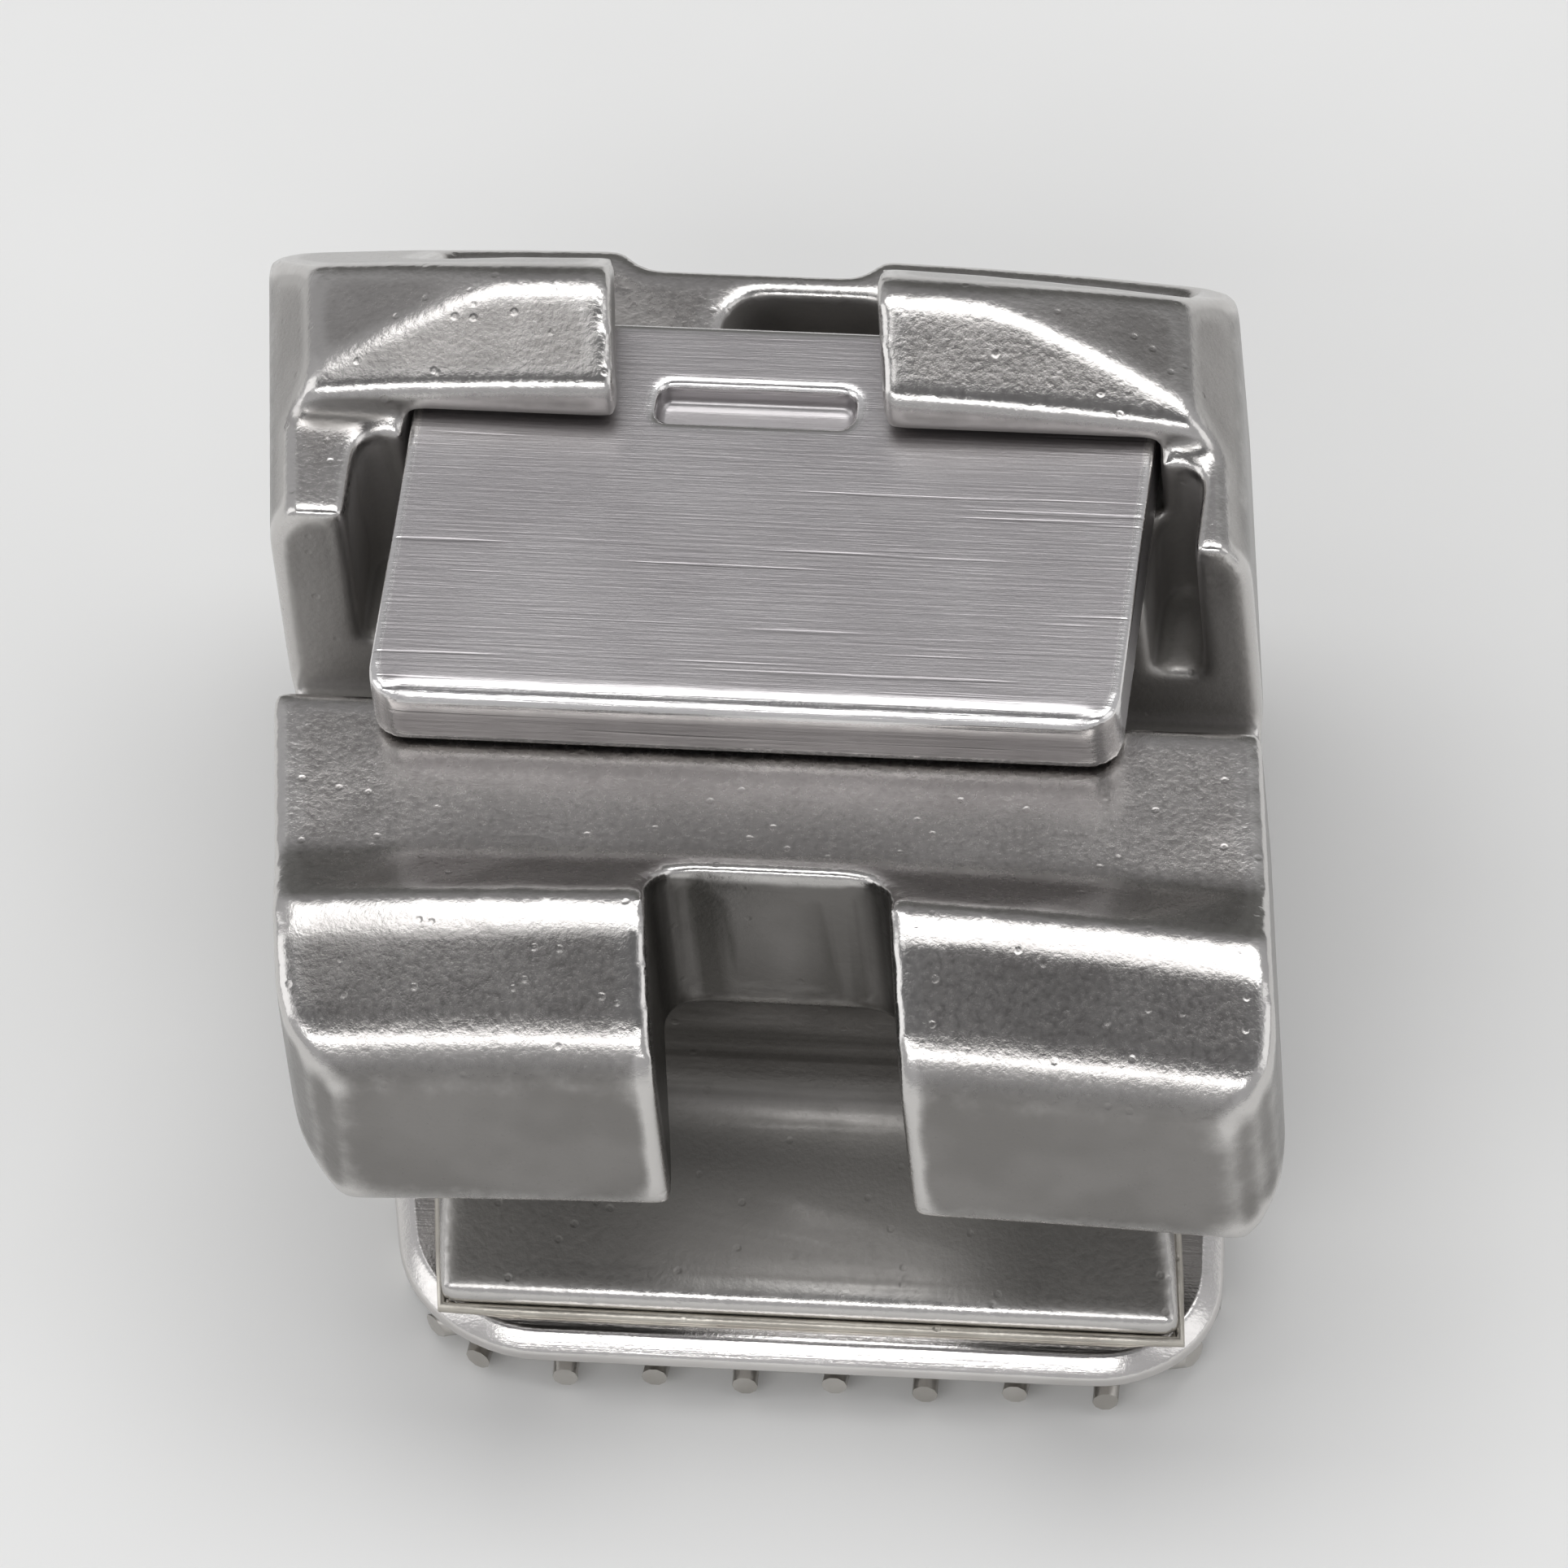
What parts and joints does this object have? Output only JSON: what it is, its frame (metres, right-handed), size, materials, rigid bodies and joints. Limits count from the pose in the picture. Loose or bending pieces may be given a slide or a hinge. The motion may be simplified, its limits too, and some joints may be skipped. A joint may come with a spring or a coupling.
{
  "type": "orthodontic bracket",
  "caption": "Small metal orthodontic bracket with tie wings, a sliding door over the archwire slot and a wire-mesh bonding pad.",
  "frame": {"origin": "centre of the pad's bonding side, which is the plane the part lies on", "axes": "+X along the archwire slot towards the side away from the middle of the mouth, +Y the way the door opens, towards the gum, +Z from the tooth towards the lip"},
  "size_m": [0.004, 0.0038, 0.0026],
  "materials": {
    "moulded_steel": "electropolished moulded stainless steel",
    "satin_steel": "satin stainless steel sheet",
    "foil_steel": "rolled stainless steel foil",
    "mesh_steel": "brazed stainless steel wire mesh",
    "spring_wire": "drawn spring wire"
  },
  "bodies": {
    "bracket": {"bracket_body": "moulded_steel", "bonding_foil": "foil_steel", "bonding_mesh": "mesh_steel", "locking_spring": "spring_wire"},
    "door": {"sliding_door": "satin_steel"}
  },
  "joints": [
    {"name": "door_slide", "type": "slide", "parent": "bracket", "child": "door", "axis": [0, 1, 0], "range_m": [0, 0.0008]}
  ]
}
